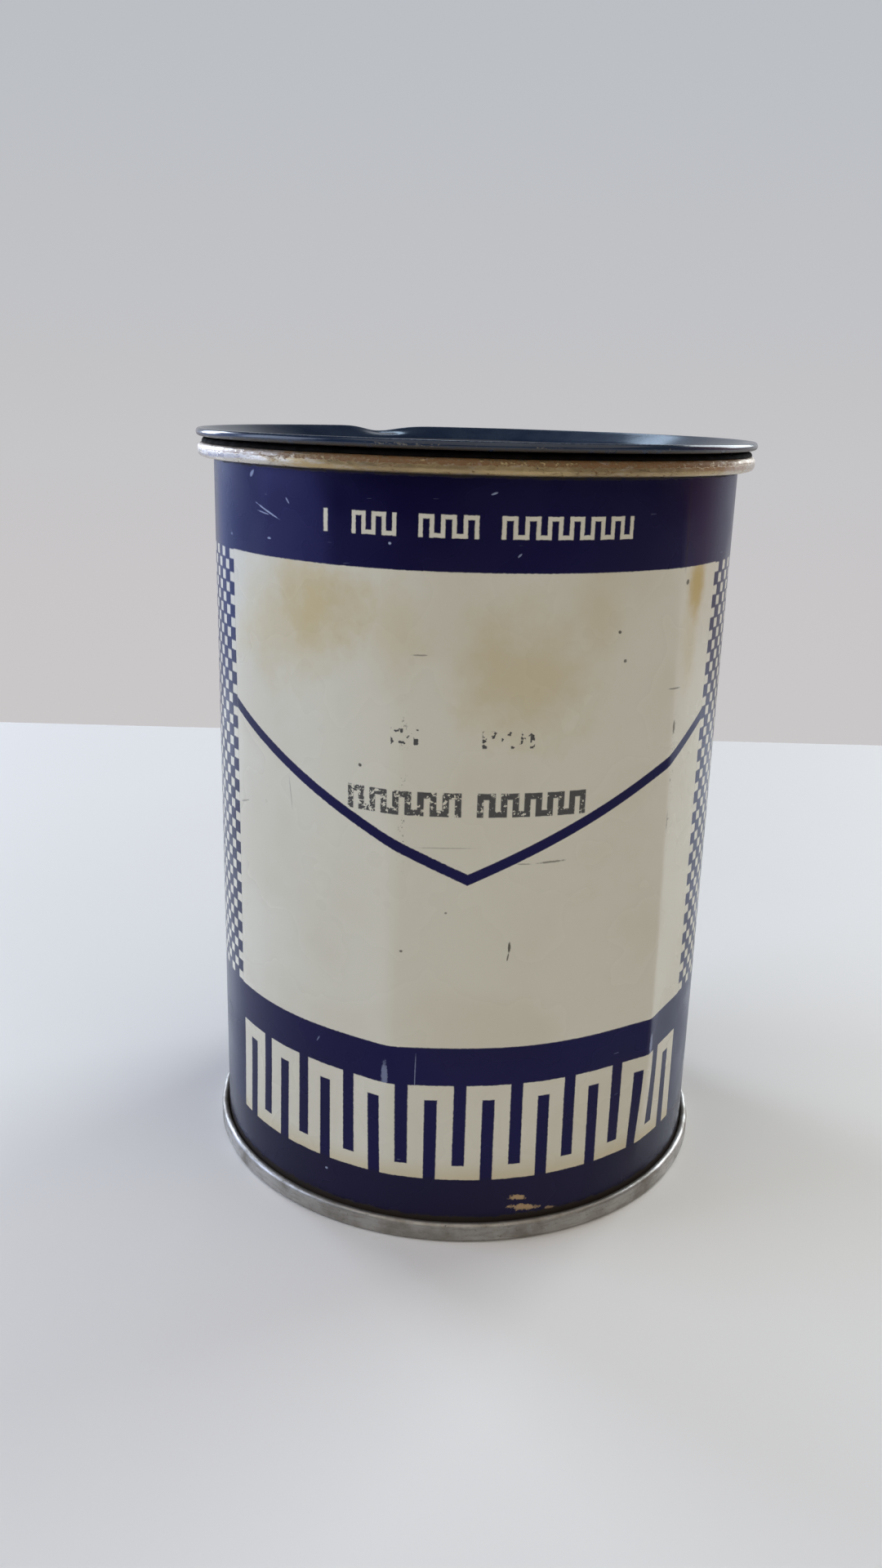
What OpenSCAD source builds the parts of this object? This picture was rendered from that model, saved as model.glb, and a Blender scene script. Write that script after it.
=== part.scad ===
// One-pound grease tin with a press-in lid, made of rolled, folded and seamed tinplate.
// The origin is the centre of the base, +Z is up, the printed front faces -Y and the side
// seam is at +X. Every sheet-metal piece is a centre line with the plate's thickness.

/* [Tin] */
// Outside diameter of the body wall
body_d = 84; // [70:0.5:100]
// Overall height, from the base to the crest of the lid's curl
tin_h = 122; // [80:1:180]
// Thickness of the tinplate
plate_t = 0.3; // [0.26:0.01:0.3]

/* [Bottom double seam] */
// Height of the seam
foot_h = 3.2; // [3.1:0.1:3.8]
// How far the seam stands out from the body wall
foot_out = 1.4; // [1.4:0.05:1.7]
// How far the bottom panel is sunk above the base
foot_sink = 3.55; // [3.2:0.05:4.5]

/* [Friction ring] */
// How far the ring's seam stands out from the body wall
ring_out = 2.5; // [2.5:0.05:3]
// Outside radius of the seam's rounded edges
ring_edge_r = 0.78; // [0.74:0.01:0.82]
// Height of the seam's straight side
ring_side = 0.57; // [0.4:0.05:0.8]
// Distance from the body wall's outside in to the ring's bore
ring_inset = 2.6; // [2.5:0.1:5]
// Depth of the ring's bore below its flat top
ring_depth = 7.2; // [6:0.1:9]
// Length of the hem folded up behind the bore
ring_hem = 2.4; // [1.5:0.1:3]

/* [Lid] */
// Outside diameter of the curled edge's roll
curl_d = 1.24; // [1.1:0.02:1.3]
// How far the curled edge stands out past the ring's seam
curl_out = 0.2; // [0:0.05:0.4]
// Prying gap between the ring's flat top and the curled edge
pry_gap = 0.96; // [0.8:0.02:1.2]
// Radial clearance between the lid's plug and the ring's bore
plug_clear = 0.08; // [0.02:0.01:0.1]
// Depth of the lid's panel below the crest of its curl
dish_depth = 7.7; // [6.5:0.1:8]

/* [Side seam] */
// Width of the folded lock seam
lock_w = 4.5; // [3.5:0.1:6]
// Width of the groove that shows outside along the seam
lock_groove = 0.45; // [0.35:0.05:0.6]
// Space between the folded layers, which solder fills
lock_gap = 0.1; // [0.08:0.01:0.14]

/* [Hidden] */
$fn = 144;

half_t = plate_t / 2;
body_r = body_d / 2;
wall_r = body_r - half_t;
wall_in = body_r - plate_t;

// Bottom seam, from the inside out: chuck wall, body wall, cover hook, body hook, seam wall.
seam_play = 0.05;
chuck_r = wall_in - seam_play - half_t;
foot_r = body_r + foot_out - half_t;
cover_hook_r = body_r + 0.13 + half_t;
body_hook_r = cover_hook_r + 0.12 + plate_t;
cover_turn = (foot_r - cover_hook_r) / 2;
cover_turn_z = foot_h - half_t - cover_turn;
cover_hook_z = 1.1;
foot_inner_round = 0.5;
foot_outer_round = 0.6;
body_turn = (body_hook_r - wall_r) / 2;
body_turn_z = plate_t + seam_play + half_t + body_turn;
body_hook_z = foot_h - 0.8;

// Bottom panel
panel_z = foot_sink - half_t;
chuck_round = 0.8;
panel_step_r = body_r - 6.5;
panel_step_w = 1.6;
panel_step_h = 0.9;
panel_bead_r = body_r * 0.55;
panel_bead_w = 3.2;
panel_bead_h = 0.6;

// Friction ring and the body's flange inside its seam
ring_top = tin_h - curl_d - pry_gap;
ring_top_mid = ring_top - half_t;
ring_turn = ring_edge_r - half_t;
ring_c = [body_r + ring_out - ring_edge_r, ring_top - ring_edge_r];
ring_low_c = ring_c - [0, ring_side];
ring_lip_w = 1.4;
ring_wall_r = body_r - ring_inset + half_t;
ring_corner = 1.2;
ring_corner_c = [ring_wall_r + ring_corner, ring_top_mid - ring_corner];
ring_hem_turn = 0.3;
ring_hem_z = ring_top - ring_depth + half_t + ring_hem_turn;
flange_z = ring_top - 0.9;
flange_round = 0.7;
flange_r = ring_c.x;

// Lid
curl_turn = curl_d / 2 - half_t;
curl_c = [body_r + ring_out + curl_out - curl_d / 2, tin_h - curl_d / 2];
curl_end = -150;
plug_r = body_r - ring_inset - plug_clear - half_t;
shoulder_lift = 0.1;
shoulder_c = [ring_corner_c.x, ring_corner_c.y + shoulder_lift];
shoulder_turn = shoulder_c.x - plug_r;
shoulder_line = curl_c - shoulder_c;
shoulder_slope = atan2(shoulder_line.y, shoulder_line.x)
    - asin((shoulder_turn - curl_turn) / norm(shoulder_line));
dish_z = tin_h - dish_depth - half_t;
channel_z = dish_z - 1.1;
channel_round = 0.9;
channel_w = 1.6;
dish_step_w = 1.8;
dish_step_r = plug_r - channel_round - channel_w - dish_step_w;
dish_beads = [0.72, 0.40];
dish_bead_w = 2.8;
dish_bead_h = 0.55;

// Side seam: its folded layers go inwards from the wall, one layer_pitch apart.
layer_pitch = plate_t + lock_gap;
lock_z = [foot_h + 1.6, ring_top - ring_depth - 1];
lock_a = degrees(-lock_w / 2);
lock_b = degrees(lock_w / 2);
t_deg = degrees(plate_t);
gap_deg = degrees(lock_gap);
groove_deg = degrees(lock_groove);

tin_blue = [0.09, 0.08, 0.26];
lid_blue = [0.19, 0.24, 0.31];
gold_lacquer = [0.66, 0.56, 0.38];
plain_tin = [0.62, 0.61, 0.58];
solder_grey = [0.5, 0.5, 0.49];
sealant = [0.2, 0.17, 0.14];

// ---- Sheet-metal outlines ----

// An arc's length on the body wall as an angle
function degrees(length) = length / wall_r * 180 / PI;

// Points along an arc about c, from angle a to angle b
function arc(c, r, a, b, n = 8) =
    [for (i = [0:n]) let (w = a + (b - a) * i / n) c + r * [cos(w), sin(w)]];

// A smooth step of height h over the width w, which starts at [r, z]
function step(r, z, w, h, n = 6) =
    [for (i = [0:n]) [r + w * i / n, z + h * (1 - cos(180 * i / n)) / 2]];

// A smooth round bead of height h and width w, centred at radius r
function bead(r, z, w, h, n = 10) =
    [for (i = [0:n]) [r + w * (i / n - 0.5), z + h * (1 - cos(360 * i / n)) / 2]];

function unit(v) = v / norm(v);
function left_of(v) = [-v.y, v.x];

// Point i of a path, moved sideways by d so that its edges stay parallel to the path
function beside(path, i, d) =
    let (before = unit(path[max(i, 1)] - path[max(i, 1) - 1]))
    let (after = i < len(path) - 1 ? unit(path[i + 1] - path[i]) : before)
    let (way = unit(left_of(before) + left_of(after)))
    path[i] + way * d / (way * left_of(before));

// The outline of a sheet of plate_t along a path
function sheet_outline(path) =
    let (last = len(path) - 1)
    concat([for (i = [0:last]) beside(path, i, half_t)],
           [for (i = [last:-1:0]) beside(path, i, -half_t)]);

module sheet(path) {
    rotate_extrude() polygon(sheet_outline(path));
}

// A ring of rectangular section
module ring(r_in, r_out, z_low, z_high) {
    rotate_extrude() translate([r_in, z_low]) square([r_out - r_in, z_high - z_low]);
}

// Part of a ring, from angle a to angle b, over the height of the lock seam
module lock_sector(r_in, r_out, a, b) {
    rotate_extrude(angle = b - a, start = a)
        translate([r_in, lock_z[0]])
            square([r_out - r_in, lock_z[1] - lock_z[0]]);
}

// Layer number n of the lock seam, which starts at the wall itself with n = 0
module lock_layer(n, a, b) {
    lock_sector(wall_in - n * layer_pitch, body_r - n * layer_pitch, a, b);
}

// A fold or joggle that joins layer m to the deeper layer n
module lock_fold(m, n, a, b) {
    lock_sector(wall_in - n * layer_pitch, body_r - m * layer_pitch, a, b);
}

// The space behind layer n
module lock_space(n, a, b) {
    lock_sector(wall_in - n * layer_pitch - lock_gap, wall_in - n * layer_pitch, a, b);
}

// ---- Outlines of the pieces ----

// Body hook, wall and top flange
body_path = concat(
    [[body_hook_r, body_hook_z]],
    arc([wall_r + body_turn, body_turn_z], body_turn, 0, -180),
    arc([wall_r + flange_round, flange_z - flange_round], flange_round, 180, 90),
    [[flange_r, flange_z]]);

// Panel, chuck wall, base, seam wall and cover hook
end_path = concat(
    [[0, panel_z - panel_step_h]],
    bead(panel_bead_r, panel_z - panel_step_h, panel_bead_w, panel_bead_h),
    step(panel_step_r, panel_z - panel_step_h, panel_step_w, panel_step_h),
    arc([chuck_r - chuck_round, panel_z - chuck_round], chuck_round, 90, 0),
    arc([chuck_r + foot_inner_round, half_t + foot_inner_round], foot_inner_round, 180, 270),
    arc([foot_r - foot_outer_round, half_t + foot_outer_round], foot_outer_round, -90, 0),
    arc([foot_r - cover_turn, cover_turn_z], cover_turn, 0, 180),
    [[cover_hook_r, cover_hook_z]]);

// Lip under the flange, seam side, flat top, bore and hem
ring_path = concat(
    [ring_low_c - [ring_lip_w, ring_turn]],
    arc(ring_low_c, ring_turn, -90, 0),
    arc(ring_c, ring_turn, 0, 90),
    arc(ring_corner_c, ring_corner, 90, 180),
    arc([ring_wall_r + ring_hem_turn, ring_hem_z], ring_hem_turn, 180, 360),
    [[ring_wall_r + 2 * ring_hem_turn, ring_hem_z + ring_hem]]);

// Dished panel with beads, channel, plug wall, sloping shoulder and curled edge
lid_path = concat(
    [[0, dish_z]],
    bead(body_r * dish_beads[1], dish_z, dish_bead_w, dish_bead_h),
    bead(body_r * dish_beads[0], dish_z, dish_bead_w, dish_bead_h),
    step(dish_step_r, dish_z, dish_step_w, channel_z - dish_z),
    arc([plug_r - channel_round, channel_z + channel_round], channel_round, -90, 0),
    arc(shoulder_c, shoulder_turn, 180, 90 + shoulder_slope, 6),
    arc(curl_c, curl_turn, 90 + shoulder_slope, curl_end, 20));

// ---- Sub-parts ----

// Rolled wall whose two ends hook into each other at the side seam. One end folds back inside
// as layer 2. The other joggles in to layer 3 and folds out as layer 1, between 0 and 2.
module body_shell() {
    groove_end = lock_b + groove_deg;
    color(tin_blue) union() {
        difference() {
            sheet(body_path);
            lock_sector(wall_in - 1, body_r + 1, lock_b, groove_end);
        }
        lock_fold(0, 2, lock_b - t_deg, lock_b);
        lock_layer(2, lock_a + t_deg + gap_deg, lock_b);
        lock_fold(0, 3, groove_end, groove_end + t_deg);
        lock_layer(3, lock_a, groove_end + t_deg);
        lock_fold(1, 3, lock_a, lock_a + t_deg);
        lock_layer(1, lock_a, lock_b - t_deg - gap_deg);
    }
}

// Solder in the groove and between the layers of the lock seam
module side_seam_solder() {
    groove_end = lock_b + groove_deg;
    color(solder_grey) union() {
        lock_sector(body_r - 3 * layer_pitch, body_r - seam_play, lock_b, groove_end);
        lock_space(2, lock_a + t_deg, groove_end);
        lock_sector(body_r - 3 * layer_pitch, wall_in - layer_pitch, lock_a + t_deg,
                    lock_a + t_deg + gap_deg);
        lock_space(1, lock_a + t_deg, lock_b - t_deg);
        lock_sector(body_r - 2 * layer_pitch, wall_in, lock_b - t_deg - gap_deg,
                    lock_b - t_deg);
        lock_space(0, lock_a, lock_b - t_deg);
    }
}

module bottom_end() {
    color(plain_tin) sheet(end_path);
}

// Sealing compound squeezed between the body hook and the seam wall
module bottom_seam_compound() {
    color(sealant)
        ring(body_hook_r + half_t, foot_r - half_t, body_turn_z, body_hook_z);
}

module friction_ring() {
    color(gold_lacquer) sheet(ring_path);
}

// Sealing compound squeezed between the body's flange and the ring's flat top
module ring_seam_compound() {
    color(sealant)
        ring(wall_r + flange_round, flange_r, flange_z + half_t, ring_top - plate_t);
}

module lid() {
    color(lid_blue) sheet(lid_path);
}

body_shell();
side_seam_solder();
bottom_end();
bottom_seam_compound();
friction_ring();
ring_seam_compound();
lid();
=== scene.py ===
import math
import random

import bpy
from mathutils import Matrix, Vector


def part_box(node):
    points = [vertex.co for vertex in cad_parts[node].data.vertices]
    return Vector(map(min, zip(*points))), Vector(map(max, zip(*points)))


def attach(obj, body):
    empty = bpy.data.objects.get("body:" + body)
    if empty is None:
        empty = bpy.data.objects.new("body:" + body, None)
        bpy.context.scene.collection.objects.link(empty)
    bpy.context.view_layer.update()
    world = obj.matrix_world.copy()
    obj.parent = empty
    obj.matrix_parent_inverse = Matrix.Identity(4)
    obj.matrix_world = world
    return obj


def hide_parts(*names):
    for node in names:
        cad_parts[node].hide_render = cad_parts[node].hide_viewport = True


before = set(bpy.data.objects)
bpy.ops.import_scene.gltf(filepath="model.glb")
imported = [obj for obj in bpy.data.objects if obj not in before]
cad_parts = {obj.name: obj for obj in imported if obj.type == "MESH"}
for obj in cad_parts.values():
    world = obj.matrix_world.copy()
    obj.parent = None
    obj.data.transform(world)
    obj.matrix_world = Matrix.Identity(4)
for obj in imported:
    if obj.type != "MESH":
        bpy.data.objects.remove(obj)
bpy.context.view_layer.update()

# A one-pound grease tin with a press-in lid, in printed, lacquered and enamelled tinplate, built round
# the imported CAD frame. Lengths in this script are millimetres, and to_metres() turns each point into
# the frame's metres. Angles about the tin's axis start at the printed front, which faces -Y, and grow
# towards the side seam at +X.

# ---- Sizes ----

MM = 0.001


def reach(node):
    """The largest radius and height of a CAD node, in millimetres."""
    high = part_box(node)[1]
    return high.x / MM, high.z / MM


CURL_R, TIN_H = reach("lid")
RING_R, RING_TOP = reach("friction_ring")
FOOT_R, PANEL_TOP = reach("bottom_end")
PLATE = 0.3
HALF = PLATE / 2
FOOT_OUT = 1.4
BODY_R = FOOT_R - FOOT_OUT
WALL_R = BODY_R - HALF
FOOT_H = 3.2
BORE_R = BODY_R - 2.6
RING_EDGE_R = 0.78
HOOK_GAP = 0.13

# Folded lock seam at the side
LOCK_ANGLE = math.pi / 2
LOCK_W = 4.5
LOCK_GROOVE = 0.45
LOCK_DEPTH = 1.2
LOCK_Z = (FOOT_H + 1.6, RING_TOP - 8.2)

# Print
WRAP = 2 * math.pi * BODY_R
HALF_WRAP = WRAP / 2
PANEL_HALF = WRAP / 6
PANEL_LOW = 33.4
PANEL_HIGH = 104.8
CHECK_ROWS = 41
CHECK_COLUMNS = 23


def to_metres(r, angle, z):
    """The point at radius r, height z and an angle from the front."""
    return Vector((r * math.sin(angle), -r * math.cos(angle), z)) * MM


def smooth(value, low, high):
    """0 below low, 1 above high and a smooth ramp between."""
    t = min(max((value - low) / (high - low), 0.0), 1.0)
    return t * t * (3 - 2 * t)


def turn_between(a, b):
    """The angle from b to a, between -pi and pi."""
    return (a - b + math.pi) % (2 * math.pi) - math.pi


# ---- Sheet-metal outlines ----


def arc(centre, r, start, end, n=12):
    """Points along an arc about centre, between two angles in degrees."""
    turns = [math.radians(start + (end - start) * i / n) for i in range(n + 1)]
    return [(centre[0] + r * math.cos(t), centre[1] + r * math.sin(t)) for t in turns]


def run(a, b, n):
    """n points strictly between a and b, on a straight line."""
    steps = [(i + 1) / (n + 1) for i in range(n)]
    return [(a[0] + (b[0] - a[0]) * t, a[1] + (b[1] - a[1]) * t) for t in steps]


def step(r, z, width, height, n=10):
    """A smooth step outwards from (r, z)."""
    return [(r + width * i / n, z + height * (1 - math.cos(math.pi * i / n)) / 2) for i in range(n + 1)]


def bead(r, z, width, height, n=16):
    """A smooth round bead centred at radius r."""
    return [
        (r + width * (i / n - 0.5), z + height * (1 - math.cos(2 * math.pi * i / n)) / 2)
        for i in range(n + 1)
    ]


def sides(path):
    """The left and right edges of a sheet of tinplate that follows a path."""
    left, right = [], []
    for i, p in enumerate(path):
        before = Vector(path[max(i, 1)]) - Vector(path[max(i, 1) - 1])
        after = Vector(path[i + 1]) - Vector(p) if i < len(path) - 1 else before
        normal = Vector((-before.y, before.x)).normalized()
        way = (normal + Vector((-after.y, after.x)).normalized()).normalized()
        way *= HALF / way.dot(normal)
        left.append((p[0] + way.x, p[1] + way.y))
        right.append((p[0] - way.x, p[1] - way.y))
    return left, right


# ---- Turned pieces ----

ON_AXIS = 1e-6
SHARP_EDGE = math.radians(40)


def even_turns(n):
    """n angles, evenly spread round the axis."""
    return [-math.pi + 2 * math.pi * i / n for i in range(n)]


def turned_points(outline, angles, place):
    """The turned outline's points, and for each outline point the numbers of its points."""
    verts, rows = [], []
    for (r, z), side in outline:
        if r < ON_AXIS:
            rows.append([len(verts)] * len(angles))
            verts.append(to_metres(0, 0, z))
            continue
        rows.append(range(len(verts), len(verts) + len(angles)))
        for a in angles:
            new_r, new_z = place(r, z, a, side)
            verts.append(to_metres(new_r, a, new_z))
    return verts, rows


def turned_faces(outline, angles, rows):
    """The turned outline's faces, the UV of each of their corners, and the side that each face is on."""
    faces, coords, face_sides = [], [], []
    for i, ((r, low), side) in enumerate(outline):
        k = (i + 1) % len(outline)
        if k == 0 and r < ON_AXIS:
            continue
        high = outline[k][0][1]
        for j, a in enumerate(angles):
            m = (j + 1) % len(angles)
            b = angles[m] + (2 * math.pi if m == 0 else 0)
            corners = [
                (rows[i][j], a, low),
                (rows[k][j], a, high),
                (rows[k][m], b, high),
                (rows[i][m], b, low),
            ]
            kept = [c for n, c in enumerate(corners) if c[0] != corners[n - 1][0]]
            faces.append([c[0] for c in reversed(kept)])
            coords += [(c[1] * BODY_R, c[2]) for c in reversed(kept)]
            face_sides.append(side)
    return faces, coords, face_sides


def lathe(name, left, right, angles, place, materials):
    """A closed sheet between two edges, turned about the tin's axis.

    place(r, z, angle, side) gives each point's (r, z), with side 0 on the left and 1 on the right. The
    left side takes the first material, and the right side takes the last. The UV map "sheet" holds the
    distance round the wall and the height, in millimetres.
    """
    outline = [(p, 0) for p in left] + [(p, 1) for p in reversed(right)]
    verts, rows = turned_points(outline, angles, place)
    faces, coords, face_sides = turned_faces(outline, angles, rows)
    mesh = bpy.data.meshes.new(name)
    mesh.from_pydata(verts, [], faces)
    sheet = mesh.uv_layers.new(name="sheet")
    for loop, uv in zip(sheet.data, coords):
        loop.uv = uv
    for material in materials:
        mesh.materials.append(material)
    slots = [min(side, len(materials) - 1) for side in face_sides]
    mesh.polygons.foreach_set("material_index", slots)
    mesh.shade_smooth()
    mesh.set_sharp_from_angle(angle=SHARP_EDGE)
    mesh.validate()
    piece = bpy.data.objects.new(name, mesh)
    bpy.context.collection.objects.link(piece)
    return piece


# ---- Nodes ----

# Half the width of a soft edge in the print
EDGE = 0.07
# Where a spot has faded out, as a share of its half-size
SPOT_END = 1.15
# The part of a noise's range over which one colour gives way to the next
CLOUDY = (0.35, 0.7)


class Graph:
    """The nodes of a material or world, and short calls that add to them."""

    def __init__(self, owner):
        owner.use_nodes = True
        self.owner = owner
        self.tree = owner.node_tree

    def feed(self, socket, value):
        """Links a socket to another, or sets it."""
        if isinstance(value, bpy.types.NodeSocket):
            self.tree.links.new(value, socket)
        else:
            socket.default_value = value

    def add(self, kind, inputs=None, **settings):
        node = self.tree.nodes.new("ShaderNode" + kind)
        for key, value in settings.items():
            setattr(node, key, value)
        for key, value in (inputs or {}).items():
            self.feed(node.inputs[key], value)
        return node

    def surface(self, **values):
        """Sets or links the shader's inputs: an underscore stands for a space."""
        shader = self.tree.nodes["Principled BSDF"]
        for key, value in values.items():
            self.feed(shader.inputs[key.replace("_", " ")], value)

    def calc(self, operation, *values):
        node = self.add("Math", operation=operation)
        for socket, value in zip(node.inputs, values):
            self.feed(socket, value)
        return node.outputs[0]

    def total(self, first, *others):
        for other in others:
            first = self.calc("ADD", first, other)
        return first

    def product(self, first, *others):
        for other in others:
            first = self.calc("MULTIPLY", first, other)
        return first

    def most(self, first, *others):
        for other in others:
            first = self.calc("MAXIMUM", first, other)
        return first

    def inverse(self, value):
        return self.calc("SUBTRACT", 1.0, value)

    def clip(self, value):
        return self.add("Clamp", {"Value": value}).outputs[0]

    def fade(self, value, low, high, to_low=0.0, to_high=1.0):
        """Maps low..high to to_low..to_high, with smooth ends."""
        spec = {"Value": value, "From Min": low, "From Max": high, "To Min": to_low, "To Max": to_high}
        return self.add("MapRange", spec, interpolation_type="SMOOTHSTEP").outputs[0]

    def between(self, value, low, high, soft=EDGE):
        """1 where low < value < high, with soft edges."""
        middle = self.calc("ADD", value, -(low + high) / 2)
        gap = self.calc("SUBTRACT", (high - low) / 2, self.calc("ABSOLUTE", middle))
        return self.clip(self.calc("MULTIPLY_ADD", gap, 0.5 / soft, 0.5))

    def noise(self, vector, scale, detail=3.0, roughness=0.5):
        spec = {"Vector": vector, "Scale": scale, "Detail": detail, "Roughness": roughness}
        return self.add("TexNoise", spec).outputs[0]

    def spot(self, uv, at_u, at_v, half_u, half_v, turn, strength, warp=0.0, core=0.6):
        """An ellipse on the wall: strength inside, 0 outside, with its edge moved by warp."""
        spec = {"Vector": uv, "Location": (at_u, at_v, 0), "Rotation": (0, 0, math.radians(turn))}
        local = self.add("Mapping", {**spec, "Scale": (half_u, half_v, 1)}, vector_type="TEXTURE")
        away = self.add("VectorMath", {0: local.outputs[0]}, operation="LENGTH").outputs["Value"]
        return self.fade(self.calc("ADD", away, warp), SPOT_END, core, 0.0, strength)

    def spots(self, uv, rows, warp):
        """The strongest of several spots at each place."""
        return self.most(0.0, *[self.spot(uv, *row, warp) for row in rows])

    def mix(self, share, a, b):
        node = self.add("Mix", data_type="RGBA")
        self.feed(node.inputs[0], share)
        self.feed(node.inputs[6], a)
        self.feed(node.inputs[7], b)
        return node.outputs[2]

    def stretch(self, vector, x, y, z):
        """A vector scaled along each axis."""
        node = self.add("VectorMath", {0: vector, 1: (x, y, z)}, operation="MULTIPLY")
        return node.outputs[0]

    def bump(self, height, depth):
        """A bump whose height of 1 stands for depth millimetres."""
        node = self.add("Bump", {"Height": height, "Distance": depth * MM, "Strength": 1.0})
        return node.outputs["Normal"]

    def solid(self):
        """Places in the object, in millimetres."""
        place = self.add("TexCoord").outputs["Object"]
        return self.stretch(place, 1 / MM, 1 / MM, 1 / MM)

    def axis(self, place, index):
        """One coordinate of a place: 0 for x, 1 for y and 2 for z."""
        return self.add("SeparateXYZ", {0: place}).outputs[index]

    def radius(self, place):
        flat_place = self.stretch(place, 1, 1, 0)
        return self.add("VectorMath", {0: flat_place}, operation="LENGTH").outputs["Value"]

    def sheet(self):
        """The UV map as a vector, the distance round the wall and the height, in millimetres."""
        uv = self.add("UVMap", uv_map="sheet").outputs[0]
        return uv, self.axis(uv, 0), self.axis(uv, 1)


def new_graph(name):
    return Graph(bpy.data.materials.new(name))


# ---- The print on the body ----

INDIGO = (0.0105, 0.0085, 0.062, 1)
INDIGO_LOW = (0.014, 0.011, 0.034, 1)
CREAM = (0.715, 0.69, 0.575, 1)
CREAM_AGED = (0.65, 0.605, 0.475, 1)
OIL = (0.56, 0.43, 0.17, 1)
STAMP_INK = (0.035, 0.035, 0.04, 1)
SCUFF = (0.40, 0.46, 0.64, 1)
TAN = (0.42, 0.29, 0.16, 1)
# Brown-black for dirt, nicks and pits, also used as painted shade along a crease, beside the seams and
# under the lid's curl
DIRT_AND_SHADE = (0.030, 0.022, 0.016, 1)

# Places on the wall are the distance round from the middle of the front and the height.

# The V-shaped line: the height of its point, its rise to the panel's sides and half its thickness
V_POINT = 60.55
V_RISE = 20.65
V_HALF = 0.85

# The gap round each check, and its soft edge, as shares of the check
CHECK_GAP = 0.09
CHECK_EDGE = 0.05

# Plain meanders: left, right, low, high, number of uprights and stroke
BAND_MEANDER = (-43.5, 43.5, 10.5, 27, 20, 2.5)
SMALL_MEANDERS = [
    (-17.8, -11.2, 109.3, 112.4, 5, 0.62),
    (-8.2, 0.0, 109.3, 112.4, 6, 0.62),
    (3.0, 22.4, 109.3, 112.4, 13, 0.62),
]
STAMP_MEANDERS = [
    (-18.2, -1.2, 70.1, 73.7, 10, 0.95),
    (1.0, 17.4, 70.1, 73.7, 10, 0.95),
]
LOST_MEANDERS = [
    (-11.5, -7.5, 80.3, 82.8, 4, 0.7),
    (1.4, 9.0, 80.3, 82.8, 6, 0.7),
]

# The upright stroke before the small meanders: left, right, low and high
SMALL_STROKE = (-22.3, -21.6, 109.3, 112.4)

# Oil stains: place, half-width, half-height, turn in degrees and strength
STAINS = [
    (8, 90.5, 12.5, 11.5, 0, 0.42),
    (17.5, 99, 5, 10, 0, 0.24),
    (-11, 96, 6, 10, 0, 0.30),
    (-24, 99, 12, 10, 0, 0.70),
    (-30, 95, 15, 11, 0, 0.42),
    (37.6, 102, 3.2, 7.5, 0, 0.95),
    (36.6, 94, 3, 9, 0, 0.30),
]
STAIN_CORE = 0.1

# Dark nicks and scratches, in the same terms
NICKS = [
    (21.3, 96.4, 0.28, 0.25, 0, 1.0),
    (22.6, 92.2, 0.32, 0.28, 0, 0.9),
    (-16.2, 76.7, 0.30, 0.26, 0, 1.0),
    (34.5, 102.6, 0.50, 0.42, 60, 0.9),
    (-9.3, 49.1, 0.28, 0.22, 0, 0.9),
    (6.6, 49.9, 0.95, 0.22, 88, 1.0),
    (6.45, 48.3, 0.75, 0.14, 80, 0.9),
    (-3.0, 55.4, 0.20, 0.18, 0, 0.8),
    (-7.6, 93.3, 1.3, 0.12, 2, 0.6),
    (33.0, 87.1, 1.5, 0.14, -3, 0.7),
    (-3.4, 65.4, 4.6, 0.10, 1, 0.35),
    (12.4, 63.0, 2.2, 0.18, 2, 0.7),
    (8.2, 62.9, 1.2, 0.14, -3, 0.5),
    (-42.0, 65.6, 1.5, 0.16, 18, 0.5),
    (-29.3, 70.0, 2.6, 0.12, -82, 0.4),
    (33.5, 81.1, 1.1, 0.35, 90, 0.8),
    (33.5, 72.9, 0.30, 0.18, 90, 0.6),
    (33.3, 66.5, 1.6, 0.14, 90, 0.6),
]

# Pale scuffs and scratches in the blue, in the same terms
SCUFFS = [
    (-33.5, 111.2, 3.0, 0.13, -20, 0.9),
    (-34.4, 110.9, 1.5, 0.10, -9, 0.7),
    (-29.0, 112.9, 0.55, 0.13, -50, 0.8),
    (-33.1, 107.4, 0.40, 0.18, 0, 0.9),
    (-37.2, 116.2, 0.70, 0.35, 40, 0.8),
    (-44.5, 107.0, 0.40, 0.20, 0, 0.6),
    (1.9, 115.3, 0.50, 0.13, 20, 0.8),
    (-12.1, 108.3, 0.22, 0.22, 0, 1.0),
    (5.6, 107.2, 0.35, 0.13, 45, 0.7),
    (-11.5, 28.5, 2.3, 0.55, 90, 0.55),
    (-6.9, 29.0, 3.6, 0.09, 89, 0.5),
    (33.5, 28.5, 2.3, 0.50, 90, 0.75),
    (-23.6, 31.0, 0.6, 0.12, 60, 0.5),
    (-21.9, 8.4, 0.28, 0.22, 0, 0.9),
]

# Chips down to the old priming, in the same terms
CHIPS = [
    (9.6, 6.9, 1.5, 0.45, -6, 1.0),
    (10.6, 5.0, 2.4, 0.55, -8, 1.0),
    (15.2, 4.1, 0.8, 0.35, 0, 0.7),
]

# Two creases in the wall where ink is rubbed off, half the width of the rubbing, and its heights
LEFT_CREASE = -9.6
RIGHT_CREASE = 33.6
CREASE_HALF = 0.35
CREASE_WORN = (63, 85)


def meander(g, u, v, left, right, low, high, uprights, stroke):
    """A plain meander in a rectangle: uprights joined in turn at the top and at the bottom."""
    pitch = 2 * (right - left - stroke) / (uprights - 1)
    start = left + stroke / 2 - pitch / 4
    turns = g.calc("DIVIDE", g.calc("SUBTRACT", u, start), pitch)
    off = g.calc("ABSOLUTE", g.calc("SUBTRACT", g.calc("FRACT", turns), 0.5))
    half = stroke / pitch / 2
    soft = EDGE / pitch
    bars = g.between(off, 0.25 - half, 0.25 + half, soft)
    top = g.product(g.between(off, -1, 0.25, soft), g.between(v, high - stroke, high))
    foot = g.product(g.between(off, 0.25, 1, soft), g.between(v, low, low + stroke))
    return g.product(g.most(bars, top, foot), g.between(v, low, high), g.between(u, left, right))


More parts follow.
